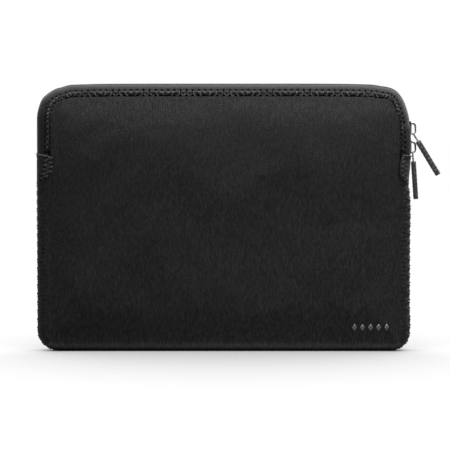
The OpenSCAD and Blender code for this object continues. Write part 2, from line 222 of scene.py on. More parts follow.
def grid_faces(rows, cols, wrap=False, flip=False, first=0):
    """Quads over a rows x cols grid of vertices. wrap joins the last row to the first."""
    index = np.arange(rows * cols).reshape(rows, cols) + first
    if wrap:
        index = np.vstack([index, index[:1]])
    quads = np.stack([index[:-1, :-1], index[:-1, 1:], index[1:, 1:], index[1:, :-1]], axis=-1)
    quads = quads.reshape(-1, 4)
    return (quads[:, ::-1] if flip else quads).tolist()


def shell(outer, inner, wrap=False):
    """A closed shell between two equal grids of points."""
    rows, cols = outer.shape[:2]
    count = rows * cols
    faces = grid_faces(rows, cols, wrap)
    faces += grid_faces(rows, cols, wrap, flip=True, first=count)
    index = np.arange(count).reshape(rows, cols)
    borders = [index[:, -1], index[::-1, 0]]
    if wrap:
        borders = [np.append(border, border[0]) for border in borders]
    else:
        borders += [index[0, :], index[-1, ::-1]]
    for border in borders:
        a, b = border[:-1], border[1:]
        faces += np.stack([a, a + count, b + count, b], axis=-1).tolist()
    return np.concatenate([outer.reshape(-1, 3), inner.reshape(-1, 3)]), faces


def swept(rings):
    """A closed bar from rings of points, with flat ends."""
    count, around = rings.shape[:2]
    faces = grid_faces(around, count, wrap=True)
    faces.append([k * count for k in range(around)])
    faces.append([k * count + count - 1 for k in range(around)][::-1])
    return rings.transpose(1, 0, 2).reshape(-1, 3), faces


def combine(*parts):
    """Joins (vertices, faces) pairs."""
    vertices, faces, first = [], [], 0
    for part_vertices, part_faces in parts:
        vertices.append(part_vertices)
        faces += [[v + first for v in face] for face in part_faces]
        first += len(part_vertices)
    return np.concatenate(vertices), faces


def tubes(paths, radius, sides=1):
    """Round threads or wires along paths, each an array of points in millimetres. The vertices
    come in rings, one for each point."""
    curve = bpy.data.curves.new("tubes", "CURVE")
    curve.dimensions = "3D"
    curve.bevel_depth = radius
    curve.bevel_resolution = sides
    curve.use_fill_caps = True
    for path in paths:
        spline = curve.splines.new("POLY")
        spline.points.add(len(path) - 1)
        spline.points.foreach_set("co", np.c_[path, np.ones(len(path))].ravel())
    holder = bpy.data.objects.new("tubes", curve)
    mesh = bpy.data.meshes.new_from_object(holder)
    vertices = np.zeros(len(mesh.vertices) * 3)
    mesh.vertices.foreach_get("co", vertices)
    faces = [list(polygon.vertices) for polygon in mesh.polygons]
    bpy.data.objects.remove(holder)
    bpy.data.curves.remove(curve)
    bpy.data.meshes.remove(mesh)
    return vertices.reshape(-1, 3), faces


def squarish(wave, power):
    """A sine or cosine pushed towards -1 and 1, for a section between a circle and a square."""
    return np.sign(wave) * np.abs(wave) ** power


def add_piece(name, part, body, slot, replaces, shade=None):
    """Makes an object from (vertices, faces), in place of the CAD nodes that it replaces. A "fold"
    piece is left unparented, with its transform baked in. shade multiplies the finish's brightness."""
    vertices, faces = part
    mesh = bpy.data.meshes.new(name)
    mesh.from_pydata((vertices * MM).tolist(), [], faces)
    mesh.validate()
    mesh.shade_smooth()
    mesh.materials.append(FINISH[slot])
    # shade holds painted shade, and painted highlight where it is above 1
    attribute = mesh.attributes.new("shade", "FLOAT", "POINT")
    attribute.data.foreach_set("value", np.ones(len(vertices)) if shade is None else shade)
    piece = bpy.data.objects.new(name, mesh)
    bpy.context.scene.collection.objects.link(piece)
    if body == "fold":
        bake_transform(piece)
    else:
        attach(piece, body)
    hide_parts(*replaces)


# ---- finishes ----


class Finish:
    """A material with a Principled shader, and helpers to add nodes to it."""

    def __init__(self, name, grey, roughness, **inputs):
        self.name = name
        self.material = bpy.data.materials.new(name)
        self.material.use_nodes = True
        self.nodes = self.material.node_tree.nodes
        self.shader = self.nodes["Principled BSDF"]
        self.colour = (grey, grey, grey, 1)
        self.shader.inputs["Base Color"].default_value = self.colour
        self.shader.inputs["Roughness"].default_value = roughness
        for label, value in inputs.items():
            self.shader.inputs[label.replace("_", " ")].default_value = value

    def link(self, source, target):
        self.material.node_tree.links.new(source, target)

    def node(self, kind, links=(), **values):
        """A node with its inputs set. links are (input name or number, source socket)."""
        node = self.nodes.new("ShaderNode" + kind)
        for label, value in values.items():
            if label in node.inputs:
                node.inputs[label].default_value = value
            else:
                setattr(node, label, value)
        for target, source in links:
            self.link(source, node.inputs[target])
        return node

    def coordinates(self, scale=(1, 1, 1), rotation=(0, 0, 0)):
        """Object coordinates in millimetres, scaled and turned."""
        source = self.node("TexCoord").outputs["Object"]
        mapping = self.node("Mapping", [("Vector", source)])
        mapping.inputs["Scale"].default_value = [1000 * part for part in scale]
        mapping.inputs["Rotation"].default_value = [math.radians(part) for part in rotation]
        return mapping.outputs[0]

    def noise(self, size, detail=3, **mapping):
        """Noise with blobs about size millimetres across, from 0 to 1."""
        node = self.node("TexNoise", [("Vector", self.coordinates(**mapping))], Scale=1 / size,
                         Detail=detail)
        return node.outputs["Fac"]

    def ribs(self, spacing, rotation=(0, 0, 0), distortion=0.0):
        """Ridges spacing millimetres apart. At a scale of 1 they are pi / 10 apart."""
        node = self.node("TexWave", [("Vector", self.coordinates(rotation=rotation))],
                         Scale=math.pi / 10 / spacing, Distortion=distortion)
        node.inputs["Detail Scale"].default_value = 1.5
        return node.outputs["Fac"]

    def bump(self, height, depth_mm):
        """Adds relief on top of any relief already there."""
        node = self.node("Bump", [("Height", height)], Distance=depth_mm * MM, Strength=1.0)
        if self.shader.inputs["Normal"].is_linked:
            self.link(self.shader.inputs["Normal"].links[0].from_socket, node.inputs["Normal"])
        self.link(node.outputs[0], self.shader.inputs["Normal"])

    def tone(self, factor):
        """Multiplies the base colour by factor, a socket."""
        target = self.shader.inputs["Base Color"]
        node = self.node("VectorMath", operation="SCALE")
        if target.is_linked:
            self.link(target.links[0].from_socket, node.inputs[0])
        else:
            node.inputs[0].default_value = self.colour[:3]
        self.link(factor, node.inputs["Scale"])
        self.link(node.outputs[0], target)

    def shaded(self):
        """Lets the vertices' shade, which is painted shade and painted highlight, scale the finish's
        colour, its specular and its sheen.
        """
        shade = self.node("Attribute", attribute_name="shade").outputs["Fac"]
        self.tone(shade)
        for label in ("Specular IOR Level", "Sheen Weight"):
            target = self.shader.inputs[label]
            product = self.node("Math", [(0, shade)], operation="MULTIPLY")
            product.inputs[1].default_value = target.default_value
            self.link(product.outputs[0], target)

    def mottle(self, size, low, high, **mapping):
        """Blotches between low and high times the base colour."""
        node = self.node("MapRange", [("Value", self.noise(size, **mapping))])
        for label, value in (("From Min", 0.3), ("From Max", 0.7), ("To Min", low), ("To Max", high)):
            node.inputs[label].default_value = value
        self.tone(node.outputs[0])


def cloth_finish(name, grey, grain, depth, sheen=0.25, low=0.75, high=1.25):
    """A matt woven or knitted finish with grain millimetres between its stitches."""
    finish = Finish(name, grey, 0.9, Sheen_Weight=sheen, Sheen_Roughness=0.5)
    finish.shader.inputs["Specular IOR Level"].default_value = 0.25
    finish.shaded()
    finish.mottle(grain, low, high)
    finish.bump(finish.noise(grain, detail=2), depth)
    return finish


def knit_finish():
    """The faces' knit, with short strokes that run upright and leaning."""
    finish = cloth_finish("knit", 0.017, 1.1, 0.45, sheen=0.22, low=0.70, high=1.30)
    finish.mottle(5.0, 0.94, 1.06)
    finish.mottle(1.3, 0.40, 1.60, scale=(1, 1, 0.3), rotation=(0, -30, 0))
    finish.mottle(1.3, 0.65, 1.35, scale=(1, 1, 0.25))
    finish.bump(finish.ribs(1.75, distortion=3.0), 0.03)
    finish.bump(finish.ribs(2.3, rotation=(0, -30, 0), distortion=2.5), 0.10)
    return finish.material


def build_finishes():
    tape = cloth_finish("zip_tape", 0.015, 0.9, 0.45, sheen=0.20)
    tape.mottle(1.4, 0.75, 1.25)
    thread = cloth_finish("zip_thread", 0.085, 0.5, 0.10, sheen=0.3)
    seam = cloth_finish("seam_thread", 0.025, 0.5, 0.10, sheen=0.1)
    tab = cloth_finish("end_tab", 0.026, 0.8, 0.15, sheen=0.2)
    cord = cloth_finish("pull_cord", 0.115, 0.6, 0.08, sheen=0.05)
    cord.bump(cord.ribs(0.9, rotation=(0, 35, 0)), 0.12)
    plush = cloth_finish("lining", 0.055, 0.6, 0.5, sheen=0.7)
    binding = cloth_finish("binding", 0.03, 0.7, 0.15)
    foam = cloth_finish("foam", 0.02, 0.4, 0.2, sheen=0.0)
    coil = Finish("zip_coil", 0.02, 0.35)
    chrome = Finish("slider_metal", 0.45, 0.22, Metallic=1.0)
    chrome.bump(chrome.noise(3.0), 0.02)
    wire = Finish("pull_wire", 0.85, 0.25, Metallic=1.0)
    spring = Finish("lock_spring", 0.5, 0.3, Metallic=1.0)
    ink = Finish("print", 0.16, 0.6)
    finishes = (tape, thread, seam, tab, cord, plush, binding, foam, coil, chrome, wire, spring, ink)
    made = {finish.name: finish.material for finish in finishes}
    made["knit"] = knit_finish()
    return made


FINISH = build_finishes()

# ---- the padded faces ----

# the corners' middles along the outline: low left, low right, top right and top left
CORNER_S = [ALONG[np.argmax(OUTWARD @ towards)] for towards in ((-1, -1), (1, -1), (1, 1), (-1, 1))]
CORNER_S[0] -= GIRTH
EVENING_ROUNDS = 500


def ring(across, up):
    """Distances along the outline of a sheet's border: the bottom, the right side, the top and
    the left side, cut at the corners' middles."""
    stops = CORNER_S + [CORNER_S[0] + GIRTH]
    counts = (across, up, across, up)
    return np.concatenate([np.linspace(stops[i], stops[i + 1], counts[i], endpoint=False)
                           for i in range(4)])


def inner_grid(across, up):
    """x and z over the face, in (up + 1) rows of (across + 1): blended from its four borders,
    then evened out."""
    border = place(ring(across, up), -INNER_D, 0, FRONT)[:, [0, 2]]
    border = np.vstack([border, border[:1]])
    bottom = border[:across + 1]
    right = border[across:across + up + 1]
    top = border[across + up:2 * across + up + 1][::-1]
    left = border[2 * across + up:][::-1]
    i = np.linspace(0, 1, across + 1)[None, :, None]
    j = np.linspace(0, 1, up + 1)[:, None, None]
    sides = (1 - j) * bottom[None] + j * top[None] + (1 - i) * left[:, None] + i * right[:, None]
    corners = ((1 - i) * (1 - j) * bottom[0] + i * (1 - j) * bottom[-1]
               + (1 - i) * j * top[0] + i * j * top[-1])
    grid = sides - corners
    for _ in range(EVENING_ROUNDS):
        grid[1:-1, 1:-1] = (grid[:-2, 1:-1] + grid[2:, 1:-1] + grid[1:-1, :-2] + grid[1:-1, 2:]) / 4
    return grid


def inset(x, z):
    """Distance inside the outline, ignoring its small waves."""
    radius = np.where(z > HEIGHT / 2, TOP_R, LOW_R[RIGHT])
    over_x = np.abs(x) - (EDGE_X - radius)
    over_z = np.abs(z - HEIGHT / 2) - (HEIGHT / 2 - radius)
    outside = np.hypot(np.maximum(over_x, 0), np.maximum(over_z, 0))
    return radius - outside - np.minimum(np.maximum(over_x, over_z), 0)


def face_height(x, z):
    """Height of the face without its swelling and wrinkles."""
    depth = DIP_LOW + (DIP_TOP - DIP_LOW) * smooth(120, 215, z)
    beside_edge = depth * np.exp(-(np.maximum(inset(x, z) - EDGE_WIDTH, 0) / DIP_REACH) ** 2)
    lean = TOP_LEAN * np.exp(-np.maximum(HEIGHT - EDGE_WIDTH - z, 0) / LEAN_REACH)
    return HALF_T - beside_edge - lean


def face_at(s, u):
    """Height of the face at a place beside the outline."""
    points = place(s, u, 0, FRONT)
    return face_height(points[..., 0], points[..., 2])


def simulate_pillow(across=60, up=44):
    """Swelling and wrinkles of the padded face as rows of heights from 0 to PILLOW: a slack sheet
    sewn down round its border and pushed out by its padding."""
    grid = inner_grid(across, up)
    random = np.random.default_rng(7)
    vertices = np.stack([grid[..., 0], random.normal(0, 0.15, grid.shape[:2]), grid[..., 1]], -1)
    mesh = bpy.data.meshes.new("pillow")
    mesh.from_pydata((vertices.reshape(-1, 3) * MM).tolist(), [],
                     grid_faces(up + 1, across + 1))
    sheet = bpy.data.objects.new("pillow", mesh)
    bpy.context.scene.collection.objects.link(sheet)
    index = np.arange(len(mesh.vertices)).reshape(up + 1, across + 1)
    sewn = np.unique(np.concatenate([index[0], index[-1], index[:, 0], index[:, -1]]))
    group = sheet.vertex_groups.new(name="sewn")
    group.add(sewn.tolist(), 1.0, "REPLACE")
    cloth = sheet.modifiers.new("cloth", "CLOTH").settings
    cloth.quality = 5
    cloth.mass = 0.3
    cloth.tension_stiffness = cloth.compression_stiffness = 40
    cloth.bending_stiffness = 5
    cloth.air_damping = 2
    cloth.vertex_group_mass = "sewn"
    cloth.shrink_min = -0.012
    cloth.use_pressure = True
    cloth.uniform_pressure_force = 0.4
    cloth.effector_weights.gravity = 0
    scene = bpy.context.scene
    for number in range(1, 31):
        scene.frame_set(number)
        sheet.evaluated_get(bpy.context.evaluated_depsgraph_get())
    result = sheet.evaluated_get(bpy.context.evaluated_depsgraph_get()).data
    moved = np.zeros(len(result.vertices) * 3)
    result.vertices.foreach_get("co", moved)
    scene.frame_set(1)
    bpy.data.objects.remove(sheet)
    rise = -moved.reshape(up + 1, across + 1, 3)[..., 1]
    return PILLOW * np.clip(rise / rise.max(), -0.3, 1)


def resample(values, rows, cols):
    """A grid of values spread evenly over another grid size."""
    old_j, old_i = (np.linspace(0, 1, count) for count in values.shape)
    across = np.array([np.interp(np.linspace(0, 1, cols), old_i, row) for row in values])
    return np.array([np.interp(np.linspace(0, 1, rows), old_j, column) for column in across.T]).T


def offset_curve(u, h, depth):
    """Moves each (u, h) row inward by depth, square to the curve."""
    du, dh = np.gradient(u, axis=1), np.gradient(h, axis=1)
    length = np.hypot(du, dh) + 1e-9
    return u + depth * dh / length, h - depth * du / length


# u of the points on the flat part of a closed edge
FLAT_U = (-INNER_D, -14.8, -13.0, -11.4, -9.9, -8.6)
# the knit round the zip's opening: how far inside the band's edge, and how far below the face.
# closed_profile() and hem_profile() have to give the same number of points.
HEM = np.array([(2.2, 0.0), (1.6, 0.0), (1.2, 0.01), (0.9, 0.04), (0.65, 0.1), (0.45, 0.2),
                (0.3, 0.35), (0.15, 0.6), (0.05, 0.95), (0.0, 1.3), (0.05, 1.8), (0.35, 2.2),
                (0.9, 2.5), (1.6, 2.6)])
CUT_SHORT = 1.1   # the foam and the lining end this far inside the knit's hem
FAR = 99.0        # a height at which the floor makes no difference


def floor_shade_and_highlight(z):
    """Painted shade and highlight by height above the floor: painted shade where the sleeve stands on
    it, and a painted highlight on the roll of the edge just above."""
    return 0.05 + 0.95 * smooth(1.0, 3.6, z) + 1.2 * np.exp(-((z - 5.3) / 2.2) ** 2)


def closed_profile(s, depth):
    """u, h and shade of a sheet that rolls into the closed edge, gathered by the edge's thread."""
    zero = 0 * s
    gathers = 0.5 - 0.5 * np.cos(2 * math.pi * seam_phase(s))
    arc = np.radians(np.linspace(0, 90, 9))[None, :]
    start = -SEAM_INSET - ROLL_R
    flat_u = zero + FLAT_U
    flat_h = face_at(s, flat_u)
    rolled_u = zero + start + ROLL_R * np.sin(arc)
    rolled_h = face_at(s, start) - ROLL_R + ROLL_R * np.cos(arc)
    u, h = offset_curve(np.hstack([flat_u, rolled_u, zero - SEAM_INSET]),
                        np.hstack([flat_h, rolled_h, zero + SEAM_GAP]), depth)
    h = np.maximum(h, SEAM_GAP)
    if depth < 1:
        h = h - 0.35 * gathers * np.exp(-((u + 5.8) / 1.2) ** 2)
        u = u - 0.25 * gathers * smooth(-5, -1, u)
    # painted shade at the foot of the bottom edge and a painted highlight on its roll; FAR leaves the
    # shade at 1 elsewhere
    above_floor = np.where(height_at(s) < 3, -u, FAR)
    return u, h, floor_shade_and_highlight(above_floor)


def hem_profile(s, depth):
    """u, h and shade of the knit, turned in round the zip and scalloped by the zigzag."""
    zero, band = 0 * s, band_at(s)
    bites = 0.5 - 0.5 * np.cos(2 * math.pi * stitch_phase(s % GIRTH))
    inward, drop = HEM[None, :, 0], HEM[None, :, 1]
    pull = bites * np.exp(-inward / 0.9)
    u = np.hstack([zero - INNER_D, -band - 2.8, -band - inward - 0.4 * pull])
    drop = np.hstack([zero, zero, drop + 0.3 * pull * (drop < 2)])
    u, h = offset_curve(u, face_at(s, u) - drop, depth)
    # painted shade: the knit darkens as it turns down into the groove under the hem
    revealed = np.hstack([[[1, 1]], smooth(0.3, 1.3, inward)])
    return u, h, zero + 0.08 + 0.92 * revealed


def cut_profile(s, depth, count):
    """u, h and shade of the foam or the lining, cut short of the zip."""
    share = np.linspace(0, 1, count)[None, :]
    u = -INNER_D + (INNER_D - band_at(s) - CUT_SHORT) * share
    h = face_at(s, u) - depth
    return u, h, 1 + 0 * h


def border_profile(s, depth, hemmed):
    """u, h and shade of a sheet from its inner grid to its sewn edge, as rows for each s."""
    s = s[:, None]
    closed = closed_profile(s, depth)
    opened = hem_profile(s, depth) if hemmed else cut_profile(s, depth, closed[0].shape[1])
    share = 1 - smooth(CLOSED_TO, OPEN_FROM, height_at(s))
    return [share * shut + (1 - share) * wide for shut, wide in zip(closed, opened)]


def sheet_layer(side, depth, hemmed, across, up, fine):
    """One surface of a face: its inner grid, its border with fine points to each of the grid's,
    and the shade of both."""
    grid = inner_grid(across, up)
    x, z = grid[..., 0], grid[..., 1]
    swell = resample(SWELL[side], up + 1, across + 1) * smooth(0, 22, inset(x, z) - INNER_D)
    height = face_height(x, z) + swell
    inner = np.stack([x, side * (height - depth), z], -1).reshape(-1, 3)
    s = ring(across * fine, up * fine)
    u, h, shade = border_profile(s, depth, hemmed)
    border = place(s[:, None], u, h, side)
    return inner, border[:, 1:], np.concatenate([np.ones(len(inner)), shade[:, 1:].ravel()])


def padded_layer(side, depths, hemmed, across, up, fine):
    """A closed sheet between two depths below the face, and its shade."""
    surfaces = [sheet_layer(side, depth, hemmed, across, up, fine) for depth in depths]
    index = np.arange((up + 1) * (across + 1)).reshape(up + 1, across + 1)
    loop = np.concatenate([index[0, :-1], index[:-1, -1], index[-1, :0:-1], index[:0:-1, 0]])
    rows, cols = surfaces[0][1].shape[:2]
    count = index.size + rows * cols
    vertices, faces = [], []
    for number, (inner, border, _) in enumerate(surfaces):
        first = number * count
        vertices += [inner, border.reshape(-1, 3)]
        part = grid_faces(up + 1, across + 1, flip=side == BACK, first=first)
        part += grid_faces(rows, cols, wrap=True, first=first + index.size, flip=side == BACK)
        outer = first + index.size + np.arange(rows + 1) % rows * cols
        for k in range(len(loop)):
            start, end = first + loop[k], first + loop[(k + 1) % len(loop)]
            fan = outer[k * fine:(k + 1) * fine + 1].tolist()
            polygon = [int(start)] + fan + [int(end)]
            part.append(polygon if side == FRONT else polygon[::-1])
        faces += [face[::-1] for face in part] if number else part
    edge = index.size + np.arange(rows) * cols + cols - 1
    edge = np.append(edge, edge[0])
    rim = np.stack([edge[:-1], edge[:-1] + count, edge[1:] + count, edge[1:]], -1)
    faces += (rim if side == FRONT else rim[:, ::-1]).tolist()
    shade = np.concatenate([surface[2] for surface in surfaces])
    return (np.concatenate(vertices), faces), shade


SWELL = {FRONT: simulate_pillow()}
SWELL[BACK] = SWELL[FRONT][:, ::-1]
# name, depths below the face, whether it ends in a hem, quads across it, border points to each
LAYERS = (("knit", (0.0, 0.6), True, 150, 3), ("foam", (0.7, 3.2), False, 80, 1),
          ("lining", (3.3, 3.9), False, 80, 1))
FACE_RATIO = 0.73   # quads up a face to quads across it


def build_faces():
    for layer, depths, hemmed, across, fine in LAYERS:
        up = round(across * FACE_RATIO)
        for side, body, name in HALVES:
            part, shade = padded_layer(side, depths, hemmed, across, up, fine)
            above_fold = ("mouth_panel_" + layer,) if side == FRONT else ()
            add_piece("%s_%s" % (name, layer), part, body, layer,
                      ("%s_panel_%s" % (name, layer),) + above_fold, shade)


build_faces()

# ---- the zip ----

TAPE_T = 0.7
TAPE_SIDE_U, TAPE_SIDE_H = -1.2, 3.5   # where the tape turns down beside the coil
TAPE_BULGE = 0.92                      # 1 is an ellipse, less is squarer
COIL_PITCH, COIL_WIRE = 1.45, 0.33     # from one turn to the next, and the wire's radius
HOLE_R = 0.85                          # the thread turns round a needle hole at this radius
THREAD_R = 0.36


def around_sliders(s):
    """1 beside the closed sliders, where the tape is pushed outward over them, and 0 elsewhere."""
    z = height_at(s)
    low, high = cad_box("lower_slider_body")[0][2], cad_box("upper_slider_body")[1][2]
    near = smooth(low - 5, low, z) * smooth(high, high - 7, z)
    return near * (s < GIRTH / 2)


def tape_top(s):
    """Height of the tape where it comes out from under the face's hem."""
    return face_at(s, -band_at(s)) - 0.9


def tape_side(s):
    """u and h where the tape turns down beside the coil."""
    near = around_sliders(s)
    return TAPE_SIDE_U + 0.8 * near, TAPE_SIDE_H + 1.5 * near


def tape_point(s, turn):
    """u and h on the tape's outside. turn runs from 0 at the hem to 1 beside the coil."""
    band = band_at(s) + 0.1
    side_u, side_h = tape_side(s)
    angle = np.clip(turn, 0, 1) * math.pi / 2
    u = -band + (band + side_u) * np.sin(angle) ** TAPE_BULGE
    h = side_h + (tape_top(s) - side_h) * np.cos(angle) ** TAPE_BULGE
    return u, h


def turn_at(s, reach):
    """The turn of the tape's point at reach millimetres outward from the hem."""
    band = band_at(s) + 0.1
    share = np.clip((reach + 0.1) / (band + tape_side(s)[0]), 0, 1)
    return np.arcsin(share ** (1 / TAPE_BULGE)) / (math.pi / 2)


def stitch_pattern(s, u):
    """How far a point is from the stitch's legs, from its needle hole and from the hem."""
    reach = u + band_at(s)
    pitch, width = on_top(s, STITCH_PITCH), on_top(s, ZIGZAG)
    phase = stitch_phase(s)
    off = np.abs(phase - np.round(phase)) * pitch
    leg = np.clip(1 - reach / (width - HOLE_R), -1, 1) * pitch / 2
    slope = np.cos(np.arctan(pitch / 2 / width))
    return np.abs(off - leg) * slope, np.hypot(off, reach - width - HOLE_REACH), reach


def zip_tape(side):
    """One half of the tape, dented by its stitches, and its shade."""
    s = np.arange(s_on_leg(TAPE_LOW, RIGHT), s_on_leg(TAPE_LOW, LEFT), 0.4)[:, None]
    turns = np.linspace(0, 1, 22)[None, :]
    u, h = tape_point(s, turns)
    hem_u, hem_h = u[:, :1] - 2.0, h[:, :1] - 0.3
    u = np.hstack([hem_u, u, u[:, -1:] - 0.05, u[:, -1:] - 0.25])
    h = np.hstack([hem_h, h, h[:, -1:] - 1.0, h[:, -1:] - 2.1])
    leg, hole, reach = stitch_pattern(s, u)
    width = on_top(s, ZIGZAG)
    sewn = smooth(-0.5, 0.6, reach) * smooth(width + 1.2, width - 0.2, reach)
    crease = np.exp(-((reach - width - HOLE_REACH) / 0.7) ** 2)
    lift = (0.28 * sewn * (1 - 1.6 * np.exp(-(leg / 0.55) ** 2))
            - 0.8 * np.exp(-(hole / 0.7) ** 2) - 0.12 * crease)
    outer_u, outer_h = offset_curve(u, h, -lift)
    inner_u, inner_h = offset_curve(u, h, TAPE_T)
    # painted shade: darker under the zigzag's legs, in the needle holes, along the crease and in the
    # groove beside the hem
    shade = (1 - 0.55 * sewn * np.exp(-(leg / 0.5) ** 2) - 0.95 * np.exp(-(hole / 1.0) ** 2)
             - 0.2 * crease)
    groove_shade = on_top(s, GROOVE_SHADE)
    shade = np.clip(shade, 0.05, 1) * (groove_shade + (1 - groove_shade) * smooth(-0.1, 0.67 * width, reach))
    part = shell(place(s, outer_u, outer_h, side), place(s, inner_u, inner_h, side))
    if side == BACK:
        part = part[0], [face[::-1] for face in part[1]]
    # painted shade on the tape's inner face
    inside = np.full(shade.size, 0.6)
    return part, np.concatenate([shade.ravel(), inside])


def zigzag(side):
    """The zigzag's thread, up from the hem, round the needle hole and down to the hem, and its
    shade."""
    first, last = s_on_leg(TAB_TOP - 1, RIGHT), s_on_leg(TAB_TOP + 1, LEFT)
    number = np.arange(math.ceil(stitch_phase(first)) + 1, math.floor(stitch_phase(last)))
    arc = np.radians(np.linspace(-140, 140, 13))
    leg = np.linspace(0, 1, 7)
    path_s, path_reach = [], []
    for s in np.interp(number, STITCH_PHASE, ALONG):
        pitch, width = on_top(s, STITCH_PITCH), on_top(s, ZIGZAG)
        middle = width - HOLE_R
        leg_s = -0.5 * pitch + (0.5 * pitch - HOLE_R * 0.64) * leg
        leg_reach = (middle - HOLE_R * 0.77) * leg
        path_s.append(s + np.concatenate([leg_s, HOLE_R * np.sin(arc[1:-1]), -leg_s[::-1]]))
        path_reach.append(np.concatenate([leg_reach, middle + HOLE_R * np.cos(arc[1:-1]),
                                          leg_reach[::-1]]))
    s, reach = np.concatenate(path_s), np.concatenate(path_reach)
    lift = 0.22 - 0.6 * np.exp(-reach / 0.5)
    u, h = tape_point(s, turn_at(s, reach - 0.35))
    part = tubes([place(s, u + 0.3 * lift, h + lift, side)], THREAD_R)
    # painted shade: the thread darkens towards the groove at the hem
    width, groove_shade = on_top(s, ZIGZAG), on_top(s, GROOVE_SHADE)
    shade = groove_shade + (1 - groove_shade) * smooth(0.18 * width, 0.67 * width, reach)
    shade = np.repeat(shade, len(part[0]) // len(s))
    caps = np.ones(len(part[0]) - len(shade))
    return part, np.append(shade, caps)


def coil(side):
    """One half of the spiral, reaching past the middle plane between the other half's turns."""
    first, last = s_on_leg(TAB_TOP - 2, RIGHT), s_on_leg(TAB_TOP - 2, LEFT)
    turns = (last - first) / COIL_PITCH
    angle = np.arange(0, turns, 1 / 12) * 2 * math.pi
    s = first + angle / (2 * math.pi) * COIL_PITCH + (0.5 * COIL_PITCH if side == BACK else 0)
    reach = np.cos(angle)
    s = s - 0.2 * np.sin(angle)
    return tubes([place(s, -0.7 + 0.32 * np.sin(angle), 1.15 + 1.4 * reach, side)], COIL_WIRE)


def cad_half(node, end):
    """A CAD node of the zip, with its separate end in the front half."""
    return (node, node + end) if node.startswith("front") else (node,)


def build_zip():
    for side, body, name in HALVES:
        part, shade = zip_tape(side)
        add_piece(name + "_tape", part, body, "zip_tape", cad_half(name + "_zip_tape", "_ends"),
                  shade)
        part, shade = zigzag(side)
        add_piece(name + "_zigzag", part, body, "zip_thread",
                  cad_half(name + "_zip_stitching", "_end"), shade)
        add_piece(name + "_coil", coil(side), body, "zip_coil",
                  cad_half(name + "_zip_coil", "_end"))


build_zip()

# ---- the closed edge's overedge thread and the inside bindings ----

OVEREDGE_REACH = 12.0   # the thread's bites are this far from the middle plane, along the fabric
OVEREDGE_R = 0.32
BINDING_T = 0.55


def overedge():
    """Thread sewn over the closed edge, from one leg's tab round the bottom to the other's, and
    its shade."""
    first, last = s_on_leg(TAPE_LOW - 3, LEFT) - GIRTH, s_on_leg(TAPE_LOW - 3, RIGHT)
    count = math.floor(seam_phase(last) - seam_phase(first))
    phase = seam_phase(first) + np.arange(0, count, 1 / 20)
    table = np.linspace(first, last, 6000)
    s = np.interp(phase, seam_phase(table), table)
    turn = (phase - seam_phase(first)) / 2 % 1
    q = OVEREDGE_REACH * (1 - 4 * np.abs(turn - 0.5))
    u, h = rolled(np.abs(q), -SEAM_INSET, HALF_T - DIP_LOW, ROLL_R)
    bite = np.exp(-((OVEREDGE_REACH - np.abs(q)) / 0.8) ** 2)
    points = place(s, u, np.sign(q) * (h + 0.2 - 0.7 * bite), FRONT)
    points += 0.2 * (u > -6)[:, None] * outward_at(s)
    part = tubes([points], OVEREDGE_R)
    # painted shade and highlight on the thread by its height above the floor, as on the knit's bottom
    # edge
    return part, floor_shade_and_highlight(part[0][:, 2])


def outward_at(s):
    """The outline's outward direction, in the three axes."""
    out = [np.interp(s, ALONG, OUTWARD[:, axis], period=GIRTH) for axis in (0, 1)]
    return np.stack([out[0], 0 * out[0], out[1]], -1)


def rolled(q, edge_u, top, radius):
    """u and h at distance q from the middle plane over a rolled edge and onto the face."""
    wall = top - radius
    angle = np.clip((q - wall) / radius, 0, math.pi / 2)
    u = edge_u - radius + radius * np.cos(angle) - np.maximum(q - wall - radius * math.pi / 2, 0)
    h = np.where(q < wall, q, wall + radius * np.sin(angle))
    return u, h


def strip(s, us, hs, side):
    """A binding strip swept along s, through the section's (us, hs) points."""
    s = s[:, None]
    u, h = (np.array(values, float)[None, :] + 0 * s for values in (us, hs))
    inner_u, inner_h = offset_curve(u, h, BINDING_T)
    part = shell(place(s, u, h, side), place(s, inner_u, inner_h, side))
    return part if side == FRONT else (part[0], [face[::-1] for face in part[1]])


def build_edges():
    thread, shade = overedge()
    add_piece("edge_thread", thread, "sleeve", "seam_thread", ("edge_seam_thread",), shade)
    low = np.arange(s_on_leg(145, LEFT) - GIRTH, s_on_leg(145, RIGHT), 1.5)
    add_piece("edge_binding", strip(low, [-4.9, -4.6, -4.6, -4.9], [3.4, 2.9, -2.9, -3.4], FRONT),
              "sleeve", "binding", ("edge_seam_binding",))
    high = np.arange(s_on_leg(TAPE_LOW + 1, RIGHT), s_on_leg(TAPE_LOW + 1, LEFT), 1.5)
    for side, body, name in HALVES:
        band = strip(high, [-14.8, -12.0, -10.2, -8.6], [7.2, 7.2, 7.1, 6.8], side)
        add_piece("mouth_binding_" + name, band, body, "binding", ("mouth_%s_binding" % name,))


build_edges()

# ---- end tabs ----

TAB_T = 1.1
TAB_BEAD = 0.6      # radius of the folded top edge
# height, and u of the tab's inner edge
TAB_INNER = {RIGHT: ((TAB_LOW, -1.8), (151.6, -7.4), (153.5, -8.2), (159.0, -8.7),
                     (164.0, -8.1), (167.5, -7.3), (TAB_TOP, -5.8)),
             LEFT: ((TAB_LOW, -2.2), (151.0, -3.9), (TAB_TOP, -10.2))}
TAB_OUT = {RIGHT: 0.1, LEFT: -0.35}   # u of the tab's outer edge
# height, and u of the zigzag's inner and outer ends
TAB_STITCHES = {RIGHT: ((148.5, -4.6, -1.2), (153.5, -8.1, -2.8), (159.0, -8.8, -3.1),
                        (165.4, -8.0, -2.8)),
                LEFT: ((149.5, -8.0, -4.0), (156.0, -15.0, -5.6), (169.0, -15.4, -7.6))}
TAB_SLANT = {RIGHT: 0.0, LEFT: 1.8}   # the top edge rises this much towards the sleeve's side
TAB_PITCH = 3.8                       # from one zigzag stitch to the next
TAB_THREAD = 0.3                      # the thread's radius
ON_TAB = 0.15                         # the thread's middle lies this far above the tab


